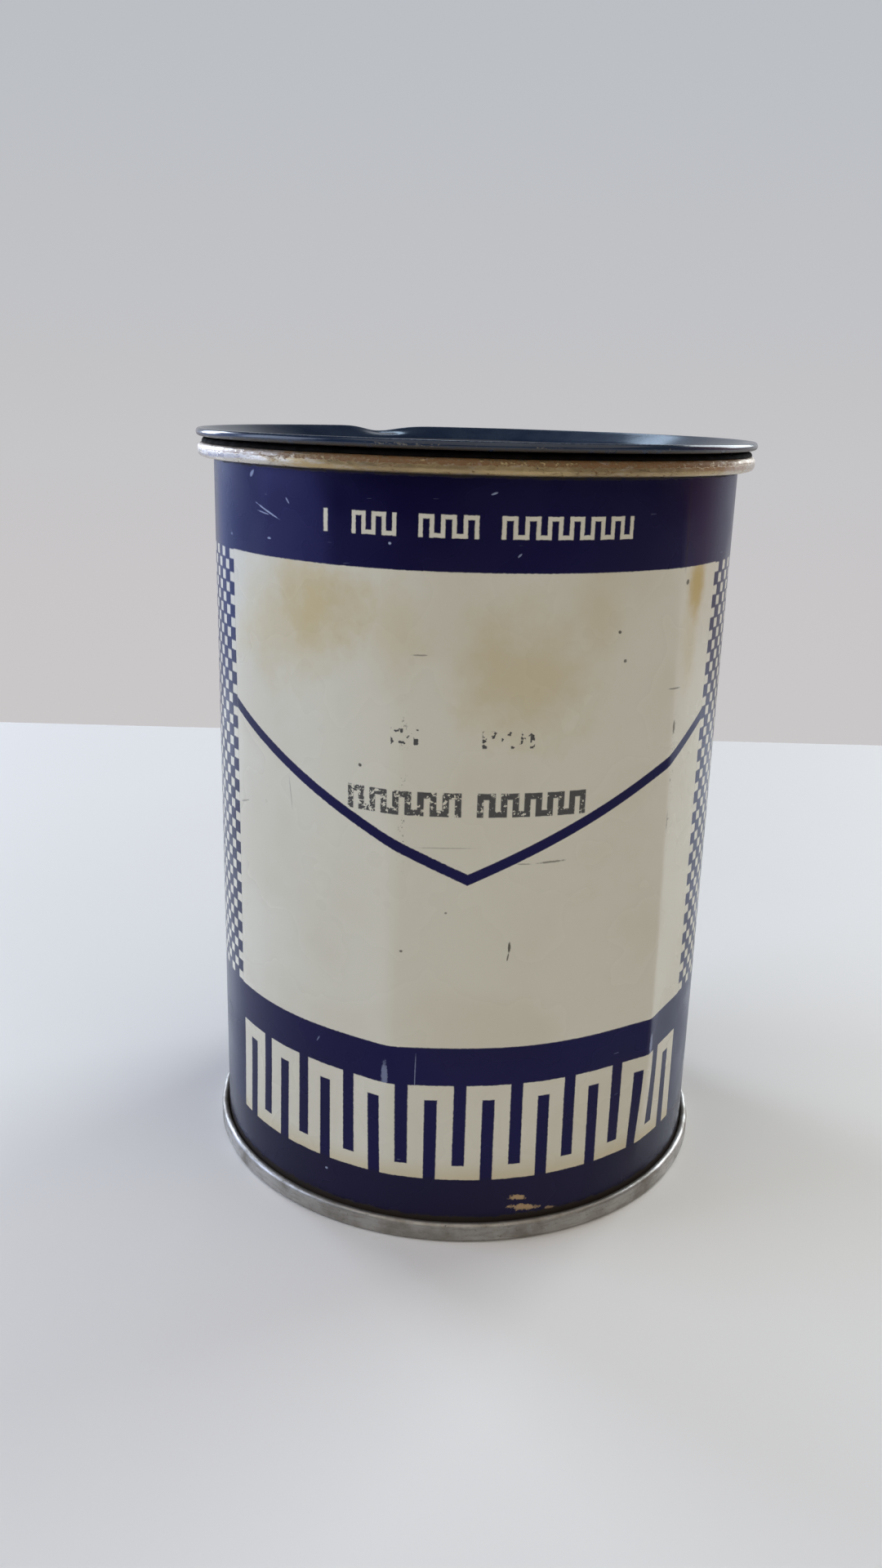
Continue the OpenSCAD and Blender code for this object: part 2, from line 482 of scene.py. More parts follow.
def meanders(g, u, v, rows):
    return g.most(*[meander(g, u, v, *row) for row in rows])


def chequered_column(g, aside, v):
    """The cream checks beside the panel. The first column of checks joins the panel."""
    column_w = (HALF_WRAP - 2 * PANEL_HALF) / CHECK_COLUMNS
    row_h = (PANEL_HIGH - PANEL_LOW) / CHECK_ROWS
    column = g.calc("DIVIDE", g.calc("SUBTRACT", aside, PANEL_HALF), column_w)
    row = g.calc("DIVIDE", g.calc("SUBTRACT", PANEL_HIGH, v), row_h)
    cells = g.calc("ADD", g.calc("FLOOR", column), g.calc("FLOOR", row))
    even = g.calc("COMPARE", g.calc("FLOORED_MODULO", cells, 2.0), 0.0, 0.5)
    inside = (CHECK_GAP, 1 - CHECK_GAP, CHECK_EDGE)
    joined = g.between(column, -1, 0.5, 0.02)
    across = g.most(g.between(g.calc("FRACT", column), *inside), joined)
    down = g.between(g.calc("FRACT", row), *inside)
    return g.product(even, across, down, g.between(aside, PANEL_HALF, WRAP, 0.02))


def label_print(g, u, v):
    """The cream print, from 0 where the indigo shows to 1. The back repeats the front."""
    turn = g.calc("MULTIPLY", g.calc("ROUND", g.calc("DIVIDE", u, HALF_WRAP)), HALF_WRAP)
    local = g.calc("SUBTRACT", u, turn)
    aside = g.calc("ABSOLUTE", local)
    field = g.between(aside, -1, PANEL_HALF)
    checks = chequered_column(g, aside, v)
    line_z = g.calc("MULTIPLY_ADD", aside, V_RISE / PANEL_HALF, V_POINT)
    line = g.between(g.calc("SUBTRACT", v, line_z), -V_HALF, V_HALF)
    high = g.between(v, PANEL_LOW, PANEL_HIGH)
    panel = g.product(high, g.most(field, checks), g.inverse(g.product(line, field)))
    left, right, low, top = SMALL_STROKE
    upright = g.product(g.between(local, left, right), g.between(v, low, top))
    wording = meanders(g, local, v, [BAND_MEANDER, *SMALL_MEANDERS])
    return g.clip(g.most(panel, upright, wording))


def stamp(g, u, v, place):
    """A worn rubber-stamp mark: two broken meanders and specks of a lost row above."""
    marks = meanders(g, u, v, STAMP_MEANDERS)
    lost = meanders(g, u, v, LOST_MEANDERS)
    grain = g.calc("ADD", g.noise(place, 1.5, 3.0, 0.7), g.fade(u, -16, 16, 0.0, 0.09))
    kept = g.fade(grain, 0.43, 0.48)
    scarce = g.fade(g.noise(place, 0.9, 2.0, 0.6), 0.54, 0.58)
    front = g.between(u, -60, 60, 1.0)
    return g.product(g.most(g.product(marks, kept), g.product(lost, scarce)), front)


def crease_wear(g, u, v, place):
    """Ink rubbed through in dots along the two creases."""
    creases = (LEFT_CREASE, RIGHT_CREASE)
    along = g.most(*[g.between(u, at - CREASE_HALF, at + CREASE_HALF, 0.4) for at in creases])
    dots = g.fade(g.noise(place, 1.7, 3.0, 0.7), 0.60, 0.66)
    return g.product(along, dots, g.between(v, *CREASE_WORN, 3.0))


def painted_crease_shade(g, u, v):
    """A painted shade line along the right-hand crease, across the top blue band."""
    width = g.between(u, RIGHT_CREASE - 0.15, RIGHT_CREASE + 0.15, 0.2)
    return g.product(width, g.between(v, PANEL_HIGH, RING_TOP - 2.5, 1.0), 0.6)


def seam_dirt_and_shade(g, v, place):
    """Dirt and painted shade beside the seams: a dark, dirty line at the foot, and a painted shadow line
    under the ring.
    """
    fine = g.noise(place, 0.6, 4.0, 0.6)
    foot = g.total(g.fade(v, 5.2, 3.1, 0.0, 0.62), g.product(fine, 0.6))
    # Painted shadow: darker just under the ring
    rim = g.total(g.fade(v, RING_TOP - 3.4, RING_TOP - 2.2, 0.0, 0.6), g.product(fine, 0.5))
    return g.fade(g.most(foot, rim), 0.62, 0.85)


def cream_colour(g, sheet, place, slow, nicks):
    """Cream ink, yellowed by age and oil, with nicks and the stamp."""
    uv, u, v = sheet
    warp = g.calc("MULTIPLY_ADD", g.noise(place, 0.13, 4.0, 0.65), 1.4, -0.7)
    stains = g.most(0.0, *[g.spot(uv, *stain, warp, STAIN_CORE) for stain in STAINS])
    colour = g.mix(g.fade(slow, 0.42, 0.66, 0.0, 0.5), CREAM, CREAM_AGED)
    colour = g.mix(g.fade(v, 14.5, 9.5, 0.0, 0.45), colour, OIL)
    colour = g.mix(stains, colour, OIL)
    colour = g.mix(g.product(g.most(nicks, crease_wear(g, u, v, place)), 0.85), colour, DIRT_AND_SHADE)
    return g.mix(g.product(stamp(g, u, v, place), 0.93), colour, STAMP_INK)


def blue_colour(g, sheet, slow, scuffs):
    """Indigo ink, browner near the foot, with hair scratches and scuffs."""
    uv, _, v = sheet
    colour = g.mix(g.fade(v, 11.2, 10.2, 0.0, 0.75), INDIGO, INDIGO_LOW)
    colour = g.mix(g.fade(slow, 0.4, 0.7, 0.0, 0.3), colour, INDIGO_LOW)
    hairs = g.fade(g.noise(g.stretch(uv, 0.5, 4.5, 1.0), 0.5, 2.0, 0.5), 0.745, 0.77)
    colour = g.mix(g.product(hairs, 0.25), colour, SCUFF)
    return g.mix(g.product(scuffs, 0.8), colour, SCUFF)


def printed_tinplate():
    """Indigo and cream ink under varnish, with its wear, stains and dirt, and painted shade along a crease
    and beside the seams.
    """
    g = new_graph("printed_tinplate")
    sheet = g.sheet()
    uv, u, v = sheet
    place = g.solid()
    ragged = g.calc("MULTIPLY_ADD", g.noise(place, 2.2, 3.0), 0.16, -0.08)
    cream = label_print(g, g.total(u, ragged), g.total(v, ragged))
    slow = g.noise(place, 0.045, 3.0, 0.5)
    jitter = g.calc("MULTIPLY_ADD", g.noise(place, 1.6, 3.0, 0.7), 1.2, -0.6)
    nicks = g.spots(uv, NICKS, jitter)
    scuffs = g.spots(uv, SCUFFS, jitter)
    chips = g.spots(uv, CHIPS, g.product(jitter, 2.0))
    dirt_and_shade = seam_dirt_and_shade(g, v, place)

    blue = blue_colour(g, sheet, slow, scuffs)
    colour = g.mix(cream, blue, cream_colour(g, sheet, place, slow, nicks))
    # Painted shade: a dark line along the right-hand crease
    colour = g.mix(painted_crease_shade(g, u, v), colour, DIRT_AND_SHADE)
    colour = g.mix(chips, colour, TAN)
    # Dirt and painted shade along the foot seam, and a painted shadow under the ring
    colour = g.mix(dirt_and_shade, colour, DIRT_AND_SHADE)

    worn = g.clip(g.total(scuffs, nicks, chips))
    rough = g.fade(g.noise(place, 0.09, 2.0, 0.5), 0.3, 0.7, 0.22, 0.32)
    rough = g.total(rough, g.product(worn, 0.25), g.product(dirt_and_shade, 0.4))
    metal = g.product(g.inverse(cream), g.inverse(g.clip(g.total(worn, dirt_and_shade))), 0.5)
    relief = g.calc("SUBTRACT", g.product(cream, 0.4), worn)
    g.surface(Base_Color=colour, Roughness=rough, Metallic=metal, Normal=g.bump(relief, 0.015))
    g.surface(Specular_IOR_Level=0.25, Specular_Tint=(0.86, 0.92, 1.0, 1))
    return g.owner


# ---- Metals and fillings ----

# Bare tinplate is painted darker in the middle of the front and back, up to the first of these distances
# along x, and lighter at the sides, from the second: a painted reflection of the dim front and the bright
# sides
PAINTED_DARK_TO = 22
PAINTED_LIGHT_FROM = 42

GOLD = (0.44, 0.33, 0.17, 1)
# A darker gold, for random tone and as painted shade along the ring's top under the lid
GOLD_DULL_AND_SHADE = (0.30, 0.22, 0.12, 1)
# Bare metal, also used to paint the reflection of the bright room at the ring's sides
SILVER_AND_REFLECTION = (0.62, 0.60, 0.56, 1)
RUST = (0.17, 0.075, 0.02, 1)
# The x about which the ring stays gold, and how far from it the metal is painted silvery: rubbed in
# streaks, and a painted reflection at the sides
LEAST_RUB_AND_REFLECTION_X = 5.0
RUB_AND_REFLECTION_FROM = 24
RUB_AND_REFLECTION_TO = 42

SLATE = (0.008, 0.018, 0.045, 1)
SLATE_WORN = (0.022, 0.038, 0.070, 1)
RUBBED_SLATE = (0.15, 0.185, 0.23, 1)
DUST = (0.20, 0.18, 0.15, 1)
SCRATCH = (0.22, 0.26, 0.32, 1)
OLD_GOLD = (0.26, 0.225, 0.17, 1)
# Where prying has chipped the lid's edge: the distance round from the front at each end
PRIED = [(-14.5, -4.5), (6.5, 9.5), (24.5, 26.0), (-60, -56), (88, 96), (128, 131), (-112, -104)]


def corner_grime_and_shade(g, place):
    """Patchy grime and painted shade in the corner where the foot meets the wall."""
    corner = g.between(g.radius(place), BODY_R, BODY_R + 0.6, 0.25)
    height = g.between(g.axis(place, 2), FOOT_H - 0.6, FOOT_H, 0.3)
    return g.product(corner, height, g.fade(g.noise(place, 0.8, 4.0, 0.7), 0.30, 0.50))


def plain_tinplate(name, base, dark, rough):
    """Bare tinplate with a spangle of crystals, dull patches, streaks, pits and grime with painted shade,
    darker in the middle of the front and back as a painted reflection.
    """
    g = new_graph(name)
    place = g.solid()
    spangle = g.add("TexVoronoi", {"Vector": place, "Scale": 0.5})
    crystal = g.add("SeparateColor", {0: spangle.outputs["Color"]}).outputs[0]
    cloud = g.noise(place, 0.12, 5.0, 0.65)
    streak = g.noise(g.stretch(place, 1.0, 1.0, 5.0), 0.35, 4.0, 0.65)
    pits = g.fade(g.noise(place, 1.5, 4.0, 0.7), 0.62, 0.70)
    grime_and_shade = corner_grime_and_shade(g, place)
    aside = g.calc("ABSOLUTE", g.axis(place, 0))
    colour = g.mix(g.fade(cloud, *CLOUDY), base, dark)
    colour = g.mix(g.fade(streak, 0.45, 0.7, 0.0, 0.6), colour, dark)
    colour = g.mix(g.product(crystal, 0.12), colour, dark)
    colour = g.mix(g.product(pits, 0.75), colour, DIRT_AND_SHADE)
    # Painted reflection: darker in the middle of the front and back, lighter towards the sides
    colour = g.mix(g.fade(aside, PAINTED_DARK_TO, PAINTED_LIGHT_FROM, 0.45, 0.0), colour, dark)
    # Grime and painted shade in the corner beside the wall
    colour = g.mix(grime_and_shade, colour, DIRT_AND_SHADE)
    rough_map = g.total(g.fade(cloud, 0.3, 0.7, *rough), g.product(g.most(pits, grime_and_shade), 0.2))
    relief = g.calc("SUBTRACT", g.noise(place, 0.8, 4.0), g.product(pits, 0.8))
    metal = g.fade(g.most(grime_and_shade, pits), 0.2, 0.9, 0.85, 0.1)
    g.surface(Base_Color=colour, Roughness=rough_map, Metallic=metal, Normal=g.bump(relief, 0.04))
    return g.owner


def gold_lacquer():
    """Gold lacquer, rubbed to the metal in streaks and painted silvery towards the sides as a painted
    reflection, brown with rust along the top of the seam, and darkened there as painted shade.
    """
    g = new_graph("gold_lacquer")
    place = g.solid()
    cloud = g.noise(place, 0.10, 4.0, 0.6)
    streak = g.noise(g.stretch(place, 1.0, 1.0, 3.5), 0.40, 4.0, 0.65)
    grain = g.noise(g.stretch(place, 1, 1, 1.6), 1.3, 4.0, 0.7)
    level = g.axis(place, 2)
    aside = g.calc("ABSOLUTE", g.calc("ADD", g.axis(place, 0), -LEAST_RUB_AND_REFLECTION_X))
    # Painted reflection: silvery towards the sides, with rubbed streaks
    rub_and_reflection = g.total(g.fade(aside, RUB_AND_REFLECTION_FROM, RUB_AND_REFLECTION_TO, 0.0, 0.42), streak)
    bare_and_reflection = g.fade(rub_and_reflection, 0.52, 0.88)
    top_rust_and_shade = g.fade(level, RING_TOP - 1.05, RING_TOP - 0.75)
    corroded = g.total(g.product(top_rust_and_shade, 0.20), g.calc("MULTIPLY_ADD", cloud, 0.3, grain))
    rust = g.product(g.fade(corroded, 0.72, 0.86), g.fade(bare_and_reflection, 0.0, 1.0, 1.0, 0.45))
    pits = g.fade(g.noise(place, 1.9, 3.0, 0.7), 0.66, 0.72)
    pits = g.product(pits, g.fade(level, RING_TOP - 1.6, RING_TOP - 0.8, 0.15, 1.0))
    flecks = g.product(g.fade(g.noise(place, 1.5, 3.0, 0.6), 0.68, 0.71), top_rust_and_shade)
    flaws = g.most(rust, pits)
    colour = g.mix(g.fade(cloud, 0.35, 0.68), GOLD, GOLD_DULL_AND_SHADE)
    # Painted shade: the ring's top band darker under the lid's curl
    colour = g.mix(g.product(top_rust_and_shade, 0.5), colour, GOLD_DULL_AND_SHADE)
    colour = g.mix(g.product(bare_and_reflection, 0.75), colour, SILVER_AND_REFLECTION)
    colour = g.mix(g.product(flecks, 0.8), colour, SILVER_AND_REFLECTION)
    colour = g.mix(g.product(rust, 0.85), colour, RUST)
    colour = g.mix(pits, colour, DIRT_AND_SHADE)
    rough = g.fade(streak, 0.3, 0.7, 0.26, 0.42)
    rough = g.total(rough, g.product(flaws, 0.3), g.product(bare_and_reflection, -0.06))
    relief = g.calc("SUBTRACT", streak, g.product(flaws, 0.9))
    metal = g.fade(flaws, 0.2, 0.9, 0.8, 0.1)
    g.surface(Base_Color=colour, Roughness=rough, Metallic=metal, Normal=g.bump(relief, 0.06))
    return g.owner


def edge_chips(g, u, v, place, grain):
    """Enamel chipped off the lid's edge, most of all where it has been pried."""
    pried = g.most(*[g.between(u, start, end, 0.8) for start, end in PRIED])
    height = g.between(v, TIN_H - 0.95, TIN_H - 0.55, 0.2)
    edge = g.product(height, g.fade(g.radius(place), CURL_R - 0.7, CURL_R - 0.4))
    chips = g.fade(g.total(grain, g.product(pried, 0.08)), 0.62, 0.68)
    return g.product(chips, edge, g.fade(pried, 0.0, 1.0, 0.25, 0.75))


def curl_grease_and_shade(g, v, place, fine):
    """Old grease and painted shade under the lid's curl."""
    height = g.fade(v, TIN_H - 0.66, TIN_H - 0.96)
    under = g.product(height, g.fade(g.radius(place), CURL_R - 1.2, CURL_R - 0.9))
    return g.product(under, g.fade(fine, 0.30, 0.50))


def lid_enamel():
    """Slate-blue enamel, chipped to the gold lacquer under it where the edge has been pried, and darkened
    under the curl by grease and painted shade.
    """
    g = new_graph("lid_enamel")
    _, u, v = g.sheet()
    place = g.solid()
    cloud = g.noise(place, 0.08, 4.0, 0.6)
    fine = g.noise(place, 0.7, 4.0, 0.65)
    grain = g.noise(g.stretch(place, 1, 1, 2.4), 1.6, 4.0, 0.7)
    chips = edge_chips(g, u, v, place, grain)
    grease_and_shade = curl_grease_and_shade(g, v, place, fine)
    rub = g.product(g.fade(v, TIN_H - 0.2, TIN_H), g.fade(grain, 0.45, 0.6, 0.1, 0.8))
    settled = g.fade(g.total(cloud, g.product(fine, 0.5)), 0.62, 0.95)
    dust = g.product(g.fade(v, TIN_H - 7.2, TIN_H - 8.6), settled)
    scratches = g.fade(g.noise(g.stretch(place, 0.12, 1.0, 1.0), 1.3, 2.0, 0.5), 0.735, 0.76)
    scratches = g.product(scratches, g.fade(v, TIN_H - 6.0, TIN_H - 6.8))
    colour = g.mix(g.fade(cloud, *CLOUDY), SLATE, SLATE_WORN)
    colour = g.mix(g.product(rub, 0.6), colour, RUBBED_SLATE)
    colour = g.mix(g.product(dust, 0.30), colour, DUST)
    colour = g.mix(g.product(scratches, 0.45), colour, SCRATCH)
    colour = g.mix(chips, colour, OLD_GOLD)
    # Grease and painted shade under the curl
    colour = g.mix(grease_and_shade, colour, DIRT_AND_SHADE)
    rough = g.fade(cloud, 0.3, 0.7, 0.13, 0.20)
    rough = g.total(rough, g.product(g.most(chips, dust, scratches, grease_and_shade), 0.25))
    relief = g.calc("SUBTRACT", g.product(fine, 0.5), g.product(chips, 1.5))
    g.surface(Base_Color=colour, Roughness=rough, Normal=g.bump(relief, 0.02))
    return g.owner


def mottled(name, base, dark, roughness, metallic=0.0, shine=0.5):
    """A simple uneven material, for what fills the seams and for old grease, which is near-black so that
    it also paints shade.
    """
    g = new_graph(name)
    cloud = g.noise(g.solid(), 0.5, 4.0, 0.6)
    colour = g.mix(g.fade(cloud, *CLOUDY), base, dark)
    rough = g.fade(cloud, 0.3, 0.7, roughness - 0.08, roughness + 0.08)
    g.surface(Base_Color=colour, Roughness=rough, Normal=g.bump(cloud, 0.05))
    g.surface(Metallic=metallic, Specular_IOR_Level=shine)
    return g.owner


# ---- Dents ----

# Upright ridges in the rolled wall: distance round from the front, sharpness, half-width and height
RIDGES = [(-10.7, 1.5, 6.0, 1.45), (32.8, 0.6, 5.0, 1.5)]
RIDGE_FALL = (30, 118)
RIDGE_LOSS = 0.85
# Faint ridges that show only near the top, in the same terms
FAINT_RIDGES = [(-21, 1.5, 2.2, 0.16), (-34, 1.5, 2.2, 0.12)]
FAINT_FROM = (84, 102)
# How far the front is flattened, and the distance round over which that ends
FLAT_BETWEEN = 0.35
FLAT_END = (38, 52)
# Shallow hollows: distance round, height, depth, half-width and half-height
HOLLOWS = [
    (-33, 76, 0.35, 11, 30),
    (44, 76, 0.3, 9, 30),
    (9, 72, 0.15, 12, 26),
    (-100, 50, 0.4, 16, 22),
    (118, 84, 0.35, 15, 18),
]
# Heights over which the dents begin above the foot and end below the ring
DENTS_BEGIN = (FOOT_H + 0.6, 26)
DENTS_END = (RING_TOP - 9, RING_TOP - 2.6)

# The pry mark in the lid's edge: its angle, its depth, its half-widths in degrees before and after
# that angle, and how steeply it ends
PRY_ANGLE = math.radians(-155.5)
PRY_DEPTH = 0.92
PRY_BEFORE = 7.5
PRY_AFTER = 5.0
PRY_STEEP = 1.2


def ridge(around, at, sharp, width, height):
    """A ridge with a rounded top that falls away to both sides."""
    return height * math.exp(-(math.hypot(around - at, sharp) - sharp) / width)


def dent_wall(angle, z):
    """How far the body wall stands out of round."""
    around = angle * BODY_R
    out = -FLAT_BETWEEN * (1 - smooth(abs(around), *FLAT_END))
    out += sum(ridge(around, *row) for row in RIDGES)
    out *= 1 - RIDGE_LOSS * smooth(z, *RIDGE_FALL)
    out += smooth(z, *FAINT_FROM) * sum(ridge(around, *row) for row in FAINT_RIDGES)
    for at, level, depth, half_u, half_v in HOLLOWS:
        off = turn_between(angle, at / BODY_R) * BODY_R
        out -= depth * math.exp(-((off / half_u) ** 2) - ((z - level) / half_v) ** 2)
    return out * smooth(z, *DENTS_BEGIN) * (1 - smooth(z, *DENTS_END))


def pry_share(angle):
    """How deep the pry mark is at an angle, from 0 to 1."""
    off = math.degrees(turn_between(angle, PRY_ANGLE))
    half = PRY_AFTER if off > 0 else PRY_BEFORE
    return math.exp(-PRY_STEEP * (off / half) ** 2)


def waves(seed, counts, size):
    """A gentle unevenness round the tin, as a function of the angle."""
    wander = random.Random(seed)
    terms = [(n, wander.uniform(0.3, 1.0) * size, wander.uniform(0, 2 * math.pi)) for n in counts]
    return lambda angle: sum(height * math.sin(n * angle + phase) for n, height, phase in terms)


# ---- Pieces ----


def body_outline():
    """The wall's path, from its hook in the bottom seam to its flange under the ring."""
    hook_r = BODY_R + HOOK_GAP + HALF + 0.12 + PLATE
    turn = (hook_r - WALL_R) / 2
    turn_z = PLATE + 0.05 + HALF + turn
    flange_z = RING_TOP - 0.9
    flange_round = 0.7
    edges = [(WALL_R, z + d) for z in LOCK_Z for d in (-0.02, 0.02)]
    wall = run((WALL_R, turn_z), (WALL_R, flange_z - flange_round), 64)
    path = [(hook_r, FOOT_H - 0.8)]
    path += arc((WALL_R + turn, turn_z), turn, 0, -180, 14)
    path += sorted(wall + edges, key=lambda p: p[1])
    path += arc((WALL_R + flange_round, flange_z - flange_round), flange_round, 180, 90, 8)
    path.append((RING_R - RING_EDGE_R, flange_z))
    return path


def make_body(outer, inner):
    """The rolled wall, with its lock seam pressed in and its dents."""
    band = [LOCK_ANGLE + side * LOCK_W / 2 / WALL_R for side in (-1, 1)]
    groove = (band[1], band[1] + LOCK_GROOVE / WALL_R)
    ridge_end = groove[1] + PLATE / WALL_R
    hair = 0.0004
    ridge_steps = [0.25 * i for i in range(-10, 11)]
    angles = even_turns(384)
    angles += [a + d for a in (band[0], *groove, ridge_end) for d in (-hair, hair)]
    angles += [(at + d) / BODY_R for at, *_ in RIDGES for d in ridge_steps]
    angles = sorted(set(round(a, 6) for a in angles))

    def place(r, z, angle, side):
        in_band = LOCK_Z[0] < z < LOCK_Z[1]
        if side == 0 and in_band and band[0] < angle < ridge_end:
            return r - LOCK_DEPTH, z
        if side == 1 and in_band and groove[0] < angle < groove[1]:
            return r - PLATE, z
        return r + dent_wall(angle, z), z

    left, right = sides(body_outline())
    return lathe("body_wall", left, right, angles, place, [inner, outer])


LID_CURL_R = 0.62
PLUG_R = BORE_R - 0.08 - HALF


def lid_outline():
    """The lid's path, from the dish's middle out and up the plug, over the shoulder and round the curl."""
    turn = LID_CURL_R - HALF
    curl_c = Vector((CURL_R - LID_CURL_R, TIN_H - LID_CURL_R))
    shoulder_c = Vector((BORE_R + HALF + 1.2, RING_TOP - HALF - 1.1))
    shoulder = shoulder_c.x - PLUG_R
    line = curl_c - shoulder_c
    slope = math.degrees(math.atan2(line.y, line.x) - math.asin((shoulder - turn) / line.length))
    dish_z = TIN_H - 7.7 - HALF
    channel_z = dish_z - 1.1
    corner = 0.9
    step_w = 1.8
    step_r = PLUG_R - corner - 1.6 - step_w
    beads = [bead(BODY_R * share, dish_z, 2.8, 0.55) for share in (0.40, 0.72)]
    shoulder_arc = arc(shoulder_c, shoulder, 180, 90 + slope, 10)
    curl_arc = arc(curl_c, turn, 90 + slope, -150, 30)
    path = [(0, dish_z)]
    path += run((0, dish_z), beads[0][0], 5) + beads[0]
    path += run(beads[0][-1], beads[1][0], 5) + beads[1]
    path += step(step_r, dish_z, step_w, channel_z - dish_z)
    path += arc((PLUG_R - corner, channel_z + corner), corner, -90, 0)
    path += run(path[-1], shoulder_arc[0], 5) + shoulder_arc
    path += run(path[-1], curl_arc[0], 5) + curl_arc
    return path


def make_lid(material):
    """The dished lid, with its pry mark."""
    uneven = waves(3, (2, 3, 5, 8), 0.02)
    rim_r = (PLUG_R + 0.9, CURL_R - LID_CURL_R - 0.4)

    def place(r, z, angle, side):
        rim = smooth(r, *rim_r) * smooth(z, RING_TOP, RING_TOP + 1)
        dent = PRY_DEPTH * pry_share(angle)
        return r - 0.35 * rim * dent, z - rim * (dent + abs(uneven(angle)))

    left, right = sides(lid_outline())
    return lathe("lid_shell", left, right, even_turns(360), place, [material])


def ring_outline():
    """The ring's path, from inside its seam, over the top and down the bore to its hem."""
    turn = RING_EDGE_R - HALF
    high = (RING_R - RING_EDGE_R, RING_TOP - RING_EDGE_R)
    low = (high[0], high[1] - 0.57)
    wall_r = BORE_R + HALF
    corner = 1.2
    hem = 0.3
    hem_z = RING_TOP - 7.2 + HALF + hem
    top = RING_TOP - HALF
    path = [(low[0] - 1.4, low[1] - turn)]
    path += arc(low, turn, -90, 0, 10) + arc(high, turn, 0, 90, 12)
    path += arc((wall_r + corner, top - corner), corner, 90, 180, 12)
    path += run(path[-1], (wall_r, hem_z), 4)
    path += arc((wall_r + hem, hem_z), hem, 180, 360, 10)
    path.append((wall_r + 2 * hem, hem_z + 2.4))
    return path


def make_ring(material):
    """The friction ring, with a slightly uneven seam."""
    uneven = waves(11, (2, 3, 7, 13), 0.025)

    def place(r, z, angle, side):
        wave = abs(uneven(angle)) * smooth(r, BODY_R + 0.3, RING_R - 0.4)
        return r - wave, z - wave * 0.6

    left, right = sides(ring_outline())
    return lathe("ring_shell", left, right, even_turns(360), place, [material])


def bottom_outline():
    """The bottom's path, from the panel's middle out, up the chuck wall and round the double seam."""
    chuck_r = BODY_R - PLATE - 0.05 - HALF
    seam_r = FOOT_R - HALF
    hook_r = BODY_R + HOOK_GAP + HALF
    turn = (seam_r - hook_r) / 2
    panel_z = PANEL_TOP - HALF
    low_z = panel_z - 0.9
    corner = 0.8
    inner = 0.5
    outer = 0.6
    rings = bead(BODY_R * 0.55, low_z, 3.2, 0.6)
    rise = step(BODY_R - 6.5, low_z, 1.6, 0.9)
    path = [(0, low_z)]
    path += run((0, low_z), rings[0], 5) + rings
    path += run(rings[-1], rise[0], 5) + rise
    path += arc((chuck_r - corner, panel_z - corner), corner, 90, 0)
    path += arc((chuck_r + inner, HALF + inner), inner, 180, 270)
    path += arc((seam_r - outer, HALF + outer), outer, -90, 0)
    path += arc((seam_r - turn, FOOT_H - HALF - turn), turn, 0, 180, 20)
    path.append((hook_r, 1.1))
    return path


def make_bottom(material):
    """The bottom, with a slightly uneven seam."""
    uneven = waves(5, (3, 5, 9, 17, 29), 0.03)

    def place(r, z, angle, side):
        wave = abs(uneven(angle)) * smooth(r, BODY_R + 0.2, FOOT_R - 0.2) * smooth(z, 0.35, 1.2)
        return r - wave, z - wave * smooth(z, FOOT_H - 0.8, FOOT_H)

    left, right = sides(bottom_outline())
    return lathe("bottom_shell", left, right, even_turns(360), place, [material])


# Old grease on the ring's flat top, near-black so that it also paints the shade in the gap: radius and
# height above it
GREASE_AND_SHADE = [
    (41.9, 0.1),
    (42.3, 0.45),
    (42.8, 0.66),
    (43.3, 0.74),
    (43.6, 0.62),
    (43.8, 0.3),
    (43.85, 0.05),
]
GREASE_AND_SHADE_INNER_R = 41.9
GREASE_AND_SHADE_OUTER_R = 43.8


def make_grime_and_shade(material):
    """Old grease caked on the ring's top, under the lid's edge, and pressed flat under the pry mark. Being
    near-black, it also paints the shade in the gap.
    """
    low = RING_TOP + 0.02
    left = [(r, low + height) for r, height in GREASE_AND_SHADE]
    right = [(GREASE_AND_SHADE_INNER_R, low), (GREASE_AND_SHADE_OUTER_R, low)]
    lumps = waves(8, (19, 31, 47, 61, 83, 97), 0.05)

    def place(r, z, angle, side):
        lump = lumps(angle) * 0.8
        kept = (1 - 0.97 * pry_share(angle)) * (0.86 + lump)
        return r + lump * smooth(r, GREASE_AND_SHADE_OUTER_R - 0.8, GREASE_AND_SHADE_OUTER_R), low + (z - low) * kept

    return lathe("rim_grime_and_shade", left, right, even_turns(360), place, [material])


printed = printed_tinplate()
bare_inside = plain_tinplate("bare_inside", (0.60, 0.59, 0.55, 1), (0.42, 0.40, 0.35, 1), (0.3, 0.45))
bare_foot = plain_tinplate("bare_foot", (0.58, 0.575, 0.56, 1), (0.22, 0.20, 0.17, 1), (0.38, 0.52))
gold = gold_lacquer()
enamel = lid_enamel()
solder = mottled("solder", (0.42, 0.42, 0.41, 1), (0.25, 0.25, 0.25, 1), 0.45, metallic=0.8)
compound = mottled("seam_compound", (0.045, 0.035, 0.03, 1), (0.02, 0.017, 0.015, 1), 0.7)
# Near-black old grease, which also paints the shade in the gap under the lid
grease_and_shade = mottled("old_grease_and_shade", (0.005, 0.0035, 0.003, 1), (0.002, 0.0015, 0.0015, 1), 0.9, shine=0.1)

# Each piece with the CAD node that it stands for, its material slot and its body
PIECES = [
    (make_body(printed, bare_inside), "body_shell", "printed_tinplate", "tin"),
    (make_bottom(bare_foot), "bottom_end", "plain_tinplate", "tin"),
    (make_ring(gold), "friction_ring", "gold_lacquer", "tin"),
    (make_lid(enamel), "lid", "lid_enamel", "press_lid"),
]
for piece, node, slot, body in PIECES:
    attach(piece, body)
    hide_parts(node)

# The grease lump on the ring's top, which also paints the shade in the gap
grime_and_shade = make_grime_and_shade(grease_and_shade)
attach(grime_and_shade, "tin")

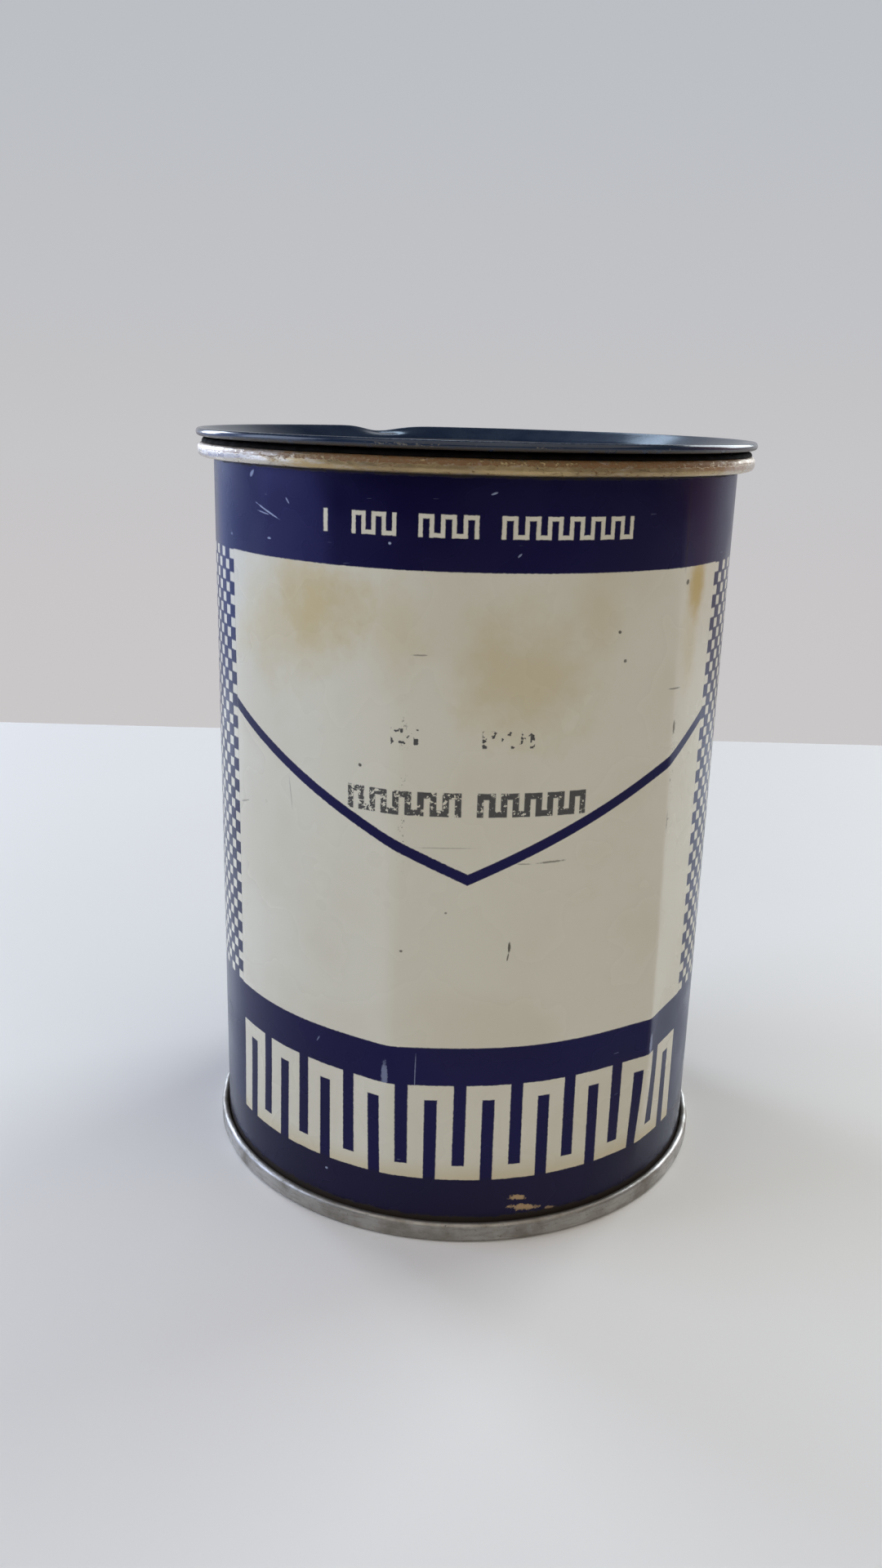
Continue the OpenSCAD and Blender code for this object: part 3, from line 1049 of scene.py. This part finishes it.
# CAD nodes that stay, with their materials
NODE_MATERIALS = {
    "side_seam_solder": solder,
    "bottom_seam_compound": compound,
    "ring_seam_compound": compound,
}
for node, material in NODE_MATERIALS.items():
    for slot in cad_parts[node].material_slots:
        slot.material = material


# ---- Stage, lights and camera ----

TABLE_HALF_W = 1500
TABLE_FRONT = -700
TABLE_BACK = 274
TABLE_WHITE = (0.86, 0.86, 0.85, 1)
TABLE_SHADE = (0.83, 0.83, 0.82, 1)


def table_white():
    """White paint, very slightly uneven."""
    g = new_graph("table_white")
    cloud = g.noise(g.solid(), 0.004, 2.0)
    g.surface(Base_Color=g.mix(g.fade(cloud, 0.3, 0.7), TABLE_WHITE, TABLE_SHADE), Roughness=0.55)
    return g.owner


def make_table():
    """The table's flat top, which isn't part of the object."""
    corners = [(x, TABLE_FRONT, 0) for x in (-TABLE_HALF_W, TABLE_HALF_W)]
    corners += [(x, TABLE_BACK, 0) for x in (TABLE_HALF_W, -TABLE_HALF_W)]
    mesh = bpy.data.meshes.new("table_top")
    mesh.from_pydata([Vector(c) * MM for c in corners], [], [(0, 1, 2, 3)])
    mesh.materials.append(table_white())
    table = bpy.data.objects.new("table_top", mesh)
    bpy.context.collection.objects.link(table)


def area_light(name, place, aim_z, size, energy, colour):
    """A soft light that faces the tin's axis at a height."""
    data = bpy.data.lights.new(name, "AREA")
    data.shape = "RECTANGLE"
    data.size, data.size_y = size[0] * MM, size[1] * MM
    data.energy = energy
    data.color = colour
    lamp = bpy.data.objects.new(name, data)
    bpy.context.collection.objects.link(lamp)
    place = Vector(place)
    lamp.location = place * MM
    lamp.visible_camera = False
    lamp.rotation_mode = "QUATERNION"
    lamp.rotation_quaternion = (Vector((0, 0, aim_z)) - place).to_track_quat("-Z", "Y")


def soft_room():
    """A pale room. The light it casts comes from behind the tin, and it is dim overhead and in front."""
    g = Graph(bpy.data.worlds.new("soft_room"))
    way = g.add("TexCoord").outputs["Generated"]
    aside, ahead, level = (g.axis(way, index) for index in range(3))
    back = g.mix(g.fade(level, -0.25, 0.30), (0.591, 0.571, 0.577, 1), (0.500, 0.520, 0.552, 1))
    ends = g.mix(g.fade(aside, -0.6, 0.6), (0.40, 0.50, 0.90, 1), (0.42, 0.20, 0.20, 1))
    front = g.mix(g.fade(ahead, -0.30, 0.40), (0.01, 0.01, 0.01, 1), ends)
    glow = g.mix(g.fade(aside, -0.75, -0.35), (0.50, 0.60, 1.0, 1), back)
    lower = g.mix(g.fade(ahead, 0.30, 0.85), front, glow)
    cast = g.mix(g.fade(level, 0.35, 0.60), lower, (0.03, 0.03, 0.035, 1))
    seen = g.add("LightPath").outputs["Is Camera Ray"]
    g.feed(g.tree.nodes["Background"].inputs["Color"], g.mix(seen, cast, back))
    return g.owner


EYE = Vector((-4.63, -212.33, 126.77))
LENS = 28.93
SENSOR = 36
PAN, TILT, ROLL = (math.radians(d) for d in (-0.144, -16.89, 1.56))


def make_camera():
    """A phone's view of the front, from a little above the tin's rim and looking down."""
    data = bpy.data.cameras.new("photo_view")
    data.lens = LENS
    data.sensor_width = SENSOR
    data.clip_start = 0.01
    camera = bpy.data.objects.new("photo_view", data)
    bpy.context.collection.objects.link(camera)
    camera.location = EYE * MM
    turn = Matrix.Rotation(PAN, 3, "Z") @ Matrix.Rotation(math.pi / 2 + TILT, 3, "X")
    turn = turn @ Matrix.Rotation(ROLL, 3, "Z")
    camera.rotation_mode = "QUATERNION"
    camera.rotation_quaternion = turn.to_quaternion()
    return camera


make_table()
area_light("window_back", (-640, 620, 330), 90, (260, 420), 3.5, (0.80, 0.88, 1.0))
area_light("window_left", (-900, -50, 400), 60, (600, 700), 4.3, (0.67, 0.77, 1.0))
area_light("window_high", (-70, 1300, 1030), 120, (170, 170), 0.35, (0.60, 0.78, 1.0))
area_light("lamp_back", (700, 600, 500), 60, (500, 600), 5.2, (0.88, 0.96, 1.0))
area_light("lamp_front", (150, -650, 1000), 40, (2200, 2200), 12.6, (1.0, 0.93, 0.84))

scene = bpy.context.scene
scene.world = soft_room()
scene.view_settings.view_transform = "Standard"
bpy.context.scene.camera = make_camera()
